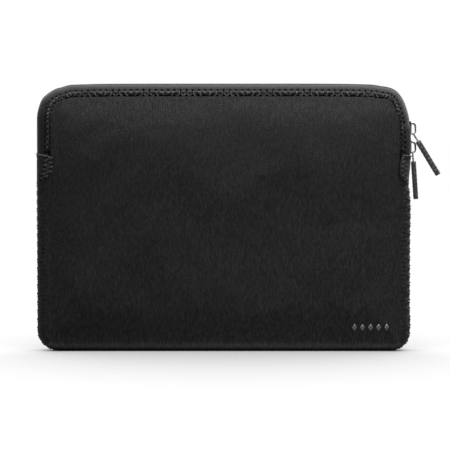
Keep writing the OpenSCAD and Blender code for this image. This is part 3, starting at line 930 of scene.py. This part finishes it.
def tab_height(z, side):
    """Height of the tab's flat part: just above the face beside it."""
    return face_at(s_on_leg(z, side), -ROLL_R) + 0.15


def q_at(u, edge_u, top, radius):
    """The q of rolled() at which its u is reached."""
    cosine = np.clip((u - edge_u + radius) / radius, 0, 1)
    flat = np.maximum(edge_u - radius - u, 0)
    return top - radius + radius * np.arccos(cosine) + flat


def tab_grid(side, sink):
    """Points on a tab's surface, sink millimetres below its outside, from its inner edge on the
    back round to the one on the front. It has a fold and a dent below its top edge."""
    rows = np.concatenate([np.linspace(0, 0.22, 8), np.linspace(0.24, 1, 40)])[:, None]
    half = np.append(np.linspace(0, 0.92, 26), 1 - 0.08 * np.cos(np.linspace(0, 1.57, 9))[1:])
    across = np.concatenate([-half[:0:-1], half])[None, :]
    base_z = TAB_LOW + (TAB_TOP - TAB_LOW) * rows
    heights, inner = np.array(TAB_INNER[side]).T
    u_in = np.interp(base_z, heights, inner)
    from_top = TAB_TOP - base_z
    lift = (0.25 * smooth(4.2, 3.2, from_top) - 0.35 * np.exp(-((from_top - 3.9) / 0.45) ** 2)
            - 0.2 * np.exp(-((from_top - 1.9) / 0.4) ** 2))
    top = tab_height(base_z, side)
    reach = q_at(u_in, TAB_OUT[side], top, ROLL_R)
    q = across * reach
    from_side = reach - np.abs(q)
    lift = lift - 0.9 * (1 - np.sqrt(1 - np.clip(1 - from_side / 0.9, 0, 1) ** 2))
    u, h = rolled(np.abs(q), TAB_OUT[side] - sink + lift, top - sink + lift,
                  ROLL_R - sink + lift)
    slant = TAB_SLANT[side] * rows * (1 - np.clip(-u / 9, 0, 1))
    s = s_on_leg(base_z + slant, side)
    return place(s, u, np.sign(across) * h, FRONT)


def end_tab(side):
    """A tab folded over the edge, with a bead along its top."""
    outer, inner = tab_grid(side, 0.0), tab_grid(side, TAB_T)
    bead = outer[-1] + np.array([0, 0, -0.5])
    body = shell(outer, inner)
    if side == RIGHT:
        body = body[0], [face[::-1] for face in body[1]]
    return combine(body, tubes([bead], TAB_BEAD, 2))


def tab_zigzag(side):
    """The tab's zigzag, one path on the front and one on the back."""
    heights, inner, outer = np.array(TAB_STITCHES[side]).T
    z = np.arange(heights[0], heights[-1], 0.15)
    swing = np.abs(((z - TAB_LOW) / TAB_PITCH) % 1 - 0.5) * 2
    u = np.interp(z, heights, inner) * (1 - swing) + np.interp(z, heights, outer) * swing
    top = tab_height(z, side)
    u, h = rolled(q_at(u, TAB_OUT[side], top, ROLL_R), TAB_OUT[side] + ON_TAB, top + ON_TAB,
                  ROLL_R + ON_TAB)
    s = s_on_leg(z, side)
    h = np.where(u < -9.5, face_at(s, u) + ON_TAB, h)
    return [place(s, u, towards * h, FRONT) for towards in (1, -1)]


def build_tabs():
    for side, name in ((RIGHT, "right"), (LEFT, "left")):
        add_piece(name + "_tab", end_tab(side), "sleeve", "end_tab", (name + "_end_tab",))
        add_piece(name + "_tab_zigzag", tubes(tab_zigzag(side), TAB_THREAD), "sleeve", "zip_thread",
                  (name + "_tab_stitching",))


build_tabs()

# ---- sliders, wires and cords ----

CROWN_R = 3.6
CROWN_FOOT = 0.3    # the crown's feet reach this far into the slider's body
# distance along the crown, and its thickness there
CROWN_T = ((0.0, 1.9), (1.6, 1.5), (8.0, 1.7), (13.0, 1.1), (20.0, 1.1))


def slider_crown(name):
    """The slider's arch: a bar with rounded edges that narrows to its lower foot."""
    low, high = cad_box(name + "_slider_crown")
    arc = np.radians(np.linspace(90, 0, 9))
    centre_x = high[0] - CROWN_R
    path = [(low[0] - CROWN_FOOT, high[2], 90)]
    path += [(centre_x + CROWN_R * math.cos(a), high[2] - CROWN_R * (1 - math.sin(a)),
              math.degrees(a)) for a in arc]
    path += [(centre_x + CROWN_R * math.cos(a), low[2] + CROWN_R * (1 - math.sin(a)),
              -math.degrees(a)) for a in arc[::-1]]
    path += [(low[0] - CROWN_FOOT, low[2], -90)]
    x, z, facing = np.array(path).T
    along = np.append(0, np.cumsum(np.hypot(np.diff(x), np.diff(z))))
    even = np.linspace(0, along[-1], 60)
    x, z, facing = (np.interp(even, along, values)[:, None] for values in (x, z, facing))
    thick = np.interp(even, *np.array(CROWN_T).T)[:, None]
    angle = np.linspace(0, 2 * math.pi, 20, endpoint=False)[None, :]
    across, deep = squarish(np.cos(angle), 0.5), squarish(np.sin(angle), 0.5)
    inward = thick / 2 * (1 - across)
    rings = np.stack([x - inward * np.cos(np.radians(facing)), high[1] * deep + 0 * x,
                      z - inward * np.sin(np.radians(facing))], -1)
    return swept(rings)


def give_finish(node, slot):
    node.data.materials.clear()
    node.data.materials.append(FINISH[slot])


def round_edges(node, width):
    bevel = node.modifiers.new("rounded", "BEVEL")
    bevel.width = width * MM
    bevel.segments = 3
    bevel.limit_method = "ANGLE"


def build_slider(name):
    """A new crown over the CAD slider's body and lock leaf, and the CAD pull's wire."""
    add_piece(name + "_crown", slider_crown(name), name + "_slider", "slider_metal",
              (name + "_slider_crown",))
    body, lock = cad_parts[name + "_slider_body"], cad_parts[name + "_slider_lock"]
    give_finish(body, "slider_metal")
    round_edges(body, 0.3)
    give_finish(lock, "lock_spring")
    round_edges(lock, 0.08)
    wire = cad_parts[name + "_pull_wire"]
    give_finish(wire, "pull_wire")
    wire.data.shade_smooth()


CORD_REACH = {"upper": (1.6, 0.3), "lower": (1.6, -0.9)}  # beyond the CAD cord's two ends
CORD_WIDE = {"upper": 2.15, "lower": 1.9}                 # half its width, seen from the front
CORD_DEEP = 3.1                                           # half its width, seen from the side
CORD_TWIST = 3.9                                          # from one strand to the next, along it
CORD_SQUARE = 0.3                                         # 1 is an oval section, 0 a rectangle


def pull_cord(name):
    """A flat twisted cord with cut ends, along the CAD cord's own axis."""
    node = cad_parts[name + "_pull_cord"]
    points = np.array([v.co for v in node.data.vertices]) / MM
    centre = points.mean(axis=0)
    plane = points[:, [0, 2]] - centre[[0, 2]]
    _, _, axes = np.linalg.svd(plane, full_matrices=False)
    along = axes[0] if axes[0][1] < 0 else -axes[0]
    reach = plane @ along
    start, end = reach.min() - CORD_REACH[name][0], reach.max() + CORD_REACH[name][1]
    across = np.array([-along[1], along[0]])
    t = np.linspace(start, end, 150)[:, None]
    angle = np.linspace(0, 2 * math.pi, 48, endpoint=False)[None, :]
    strands = np.abs(np.cos(1.5 * angle + math.pi * (t - start) / CORD_TWIST)) ** 0.7
    ripple = 1 + 0.12 * (strands - 0.6)
    size = ripple * (1 - 0.12 * (smooth(end - 0.7, end, t) + smooth(start + 0.7, start, t)))
    wide = CORD_WIDE[name] * squarish(np.cos(angle), CORD_SQUARE) * size
    deep = CORD_DEEP * squarish(np.sin(angle), CORD_SQUARE) * size
    x = centre[0] + along[0] * t + across[0] * wide
    z = centre[2] + along[1] * t + across[1] * wide
    return swept(np.stack([x, centre[1] + deep, z], -1))


def build_pulls():
    for name in ("upper", "lower"):
        build_slider(name)
    for name in ("upper", "lower"):
        add_piece(name + "_cord", pull_cord(name), name + "_pull", "pull_cord",
                  (name + "_pull_cord",))


build_pulls()

# ---- printed mark ----

MARK_PITCH, MARK_REACH = 7.0, 2.0   # between the diamonds' middles, and to a diamond's side


def printed_mark():
    """Five small diamonds in a row, lying on the front face."""
    low, high = cad_box("printed_mark")
    middle = (low + high) / 2
    face = bpy.data.objects["front_knit"]
    parts = []
    for number in range(-2, 3):
        points = []
        for scale in (1.0, 0.5, 0.0):
            for angle in np.radians(np.arange(0, 360, 90)):
                x = middle[0] + MARK_PITCH * number + MARK_REACH * scale * math.cos(angle)
                z = middle[2] + (high[2] - low[2]) / 2 * scale * math.sin(angle)
                hit = face.ray_cast((x * MM, -0.05, z * MM), (0, 1, 0))
                points.append((x, hit[1][1] / MM, z))
        grid = np.array(points).reshape(3, 4, 3).transpose(1, 0, 2)
        outer, inner = grid - [0, 0.07, 0], grid + [0, 0.03, 0]
        parts.append(shell(outer, inner, wrap=True))
    return combine(*parts)


add_piece("mark", printed_mark(), "sleeve", "print", ("printed_mark",))

# ---- floor, light and camera ----

# the world's brightness by a direction's y: where its change starts and ends, then the brightness
# in front and behind
AMBIENT = (-0.1, 0.5, 0.13, 0.90)
REFLECTED = (-0.2, 0.7, 0.05, 1.0)
FLOOR_SEEN, FLOOR_GLOW = 1.10, 0.20   # its brightness to the camera, and as a light
FLOOR_Z = -0.0002                     # metres, just below the lowest thread
# name, place and aim in metres, size in metres, watts
LIGHTS = (
    ("overhead", (0.14, -0.028, 0.93), (0.14, -0.028, 0), (0.7, 0.07), 28.5),
    ("bounce", (0.09, -0.2, 0.02), (0.09, 0, 0.06), (0.35, 0.04), 0.14),
    ("right", (1.2, -0.25, 0.3), (0, 0, 0.12), (0.5, 0.5), 2.9),
    ("left", (-1.2, -0.25, 0.2), (0, 0, 0.1), (0.5, 0.5), 3.4),
)


def choose(tree, factor, if_zero, if_one):
    """A number that is if_zero or if_one, each a number or a socket, by factor."""
    mix = tree.nodes.new("ShaderNodeMix")
    for label, value in (("Factor", factor), ("A", if_zero), ("B", if_one)):
        if isinstance(value, float):
            mix.inputs[label].default_value = value
        else:
            tree.links.new(value, mix.inputs[label])
    return mix.outputs["Result"]


def build_world(scene):
    """White to the camera. It lights cloth softly from behind, and shows metal a dark room in
    front of the sleeve and a white one behind it."""
    world = bpy.data.worlds.new("white")
    world.use_nodes = True
    tree = world.node_tree
    background = tree.nodes["Background"]
    background.inputs["Color"].default_value = (1, 1, 1, 1)
    direction = tree.nodes.new("ShaderNodeSeparateXYZ")
    source = tree.nodes.new("ShaderNodeTexCoord")
    tree.links.new(source.outputs["Generated"], direction.inputs[0])
    ramps = []
    for start, end, front, back in (AMBIENT, REFLECTED):
        ramp = tree.nodes.new("ShaderNodeMapRange")
        for label, value in (("From Min", start), ("From Max", end),
                             ("To Min", front), ("To Max", back)):
            ramp.inputs[label].default_value = value
        tree.links.new(direction.outputs["Y"], ramp.inputs["Value"])
        ramps.append(ramp.outputs[0])
    path = tree.nodes.new("ShaderNodeLightPath")
    lighting = choose(tree, path.outputs["Is Glossy Ray"], ramps[0], ramps[1])
    strength = choose(tree, path.outputs["Is Camera Ray"], lighting, 1.0)
    tree.links.new(strength, background.inputs["Strength"])
    scene.world = world


def build_floor(scene):
    """A white floor that darkens only where the sleeve hides the light from it."""
    mesh = bpy.data.meshes.new("floor")
    mesh.from_pydata([(-3, -3, 0), (3, -3, 0), (3, 3, 0), (-3, 3, 0)], [], [(0, 1, 2, 3)])
    floor = bpy.data.objects.new("floor", mesh)
    scene.collection.objects.link(floor)
    floor.location.z = FLOOR_Z
    material = bpy.data.materials.new("floor")
    material.use_nodes = True
    tree = material.node_tree
    tree.nodes.clear()
    hidden = tree.nodes.new("ShaderNodeAmbientOcclusion")
    hidden.samples = 8
    hidden.inputs["Distance"].default_value = 0.4
    glow = tree.nodes.new("ShaderNodeEmission")
    output = tree.nodes.new("ShaderNodeOutputMaterial")
    scale = tree.nodes.new("ShaderNodeMath")
    scale.operation = "MULTIPLY"
    tree.links.new(hidden.outputs["AO"], scale.inputs[0])
    path = tree.nodes.new("ShaderNodeLightPath")
    strength = choose(tree, path.outputs["Is Camera Ray"], FLOOR_GLOW, FLOOR_SEEN)
    tree.links.new(strength, scale.inputs[1])
    tree.links.new(scale.outputs[0], glow.inputs["Strength"])
    tree.links.new(glow.outputs[0], output.inputs["Surface"])
    mesh.materials.append(material)


def build_light(scene, name, place_m, aim, size, watts):
    light = bpy.data.lights.new(name, "AREA")
    light.shape = "RECTANGLE"
    light.size, light.size_y = size
    light.energy = watts
    lamp = bpy.data.objects.new(name, light)
    lamp.location = place_m
    direction = Vector(aim) - Vector(place_m)
    lamp.rotation_mode = "QUATERNION"
    lamp.rotation_quaternion = direction.to_track_quat("-Z", "Y")
    scene.collection.objects.link(lamp)


def build_camera(scene):
    camera = bpy.data.cameras.new("camera")
    camera.lens = 120
    camera.clip_end = 20
    view = bpy.data.objects.new("camera", camera)
    pitch = math.radians(2)
    distance = 1.311
    aim_x, aim_z = 0.0016, 0.1096
    view.location = (aim_x, -distance * math.cos(pitch), aim_z + distance * math.sin(pitch))
    view.rotation_euler = (math.pi / 2 - pitch, 0, 0)
    scene.collection.objects.link(view)
    scene.camera = view


def build_stage():
    scene = bpy.context.scene
    scene.view_settings.view_transform = "Standard"
    build_world(scene)
    build_floor(scene)
    for light in LIGHTS:
        build_light(scene, *light)
    build_camera(scene)


build_stage()
